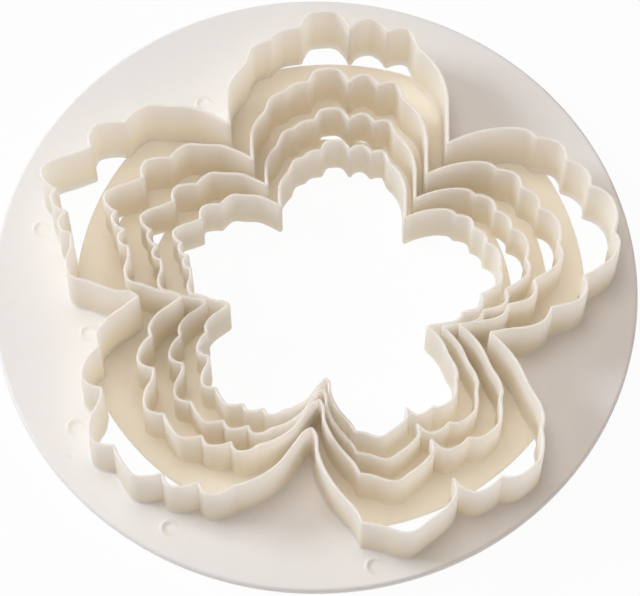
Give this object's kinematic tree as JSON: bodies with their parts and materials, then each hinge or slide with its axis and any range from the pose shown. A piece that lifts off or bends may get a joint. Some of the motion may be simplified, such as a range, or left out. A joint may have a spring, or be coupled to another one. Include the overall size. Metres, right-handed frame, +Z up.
{
  "type": "nest of flower cutters",
  "caption": "Nest of peony flower cutters for sugar paste and pastry: thin ruffled cutting walls on round flanges, stacked inside each other, each lifting off upwards.",
  "frame": {"origin": "under the middle of the largest flange, on the surface that the nest stands on", "axes": "+Z up, along the way the cutters lift off; +X to the right and +Y to the back, as the picture shows the nest"},
  "size_m": [0.12, 0.12, 0.0169],
  "materials": {
    "ivory_plastic": "satin moulded ABS, ivory, slightly translucent"
  },
  "bodies": {
    "small_cutter": {"small_flange": "ivory_plastic", "small_wall": "ivory_plastic"},
    "medium_cutter": {"medium_flange": "ivory_plastic", "medium_wall": "ivory_plastic"},
    "large_cutter": {"large_flange": "ivory_plastic", "large_wall": "ivory_plastic"},
    "largest_cutter": {"largest_flange": "ivory_plastic", "largest_wall": "ivory_plastic"}
  },
  "joints": [
    {"name": "medium_lift", "type": "slide", "parent": "small_cutter", "child": "medium_cutter", "axis": [0, 0, 1], "range_m": [0, 0.025]},
    {"name": "large_lift", "type": "slide", "parent": "medium_cutter", "child": "large_cutter", "axis": [0, 0, 1], "range_m": [0, 0.025]},
    {"name": "largest_lift", "type": "slide", "parent": "large_cutter", "child": "largest_cutter", "axis": [0, 0, 1], "range_m": [0, 0.025]}
  ]
}
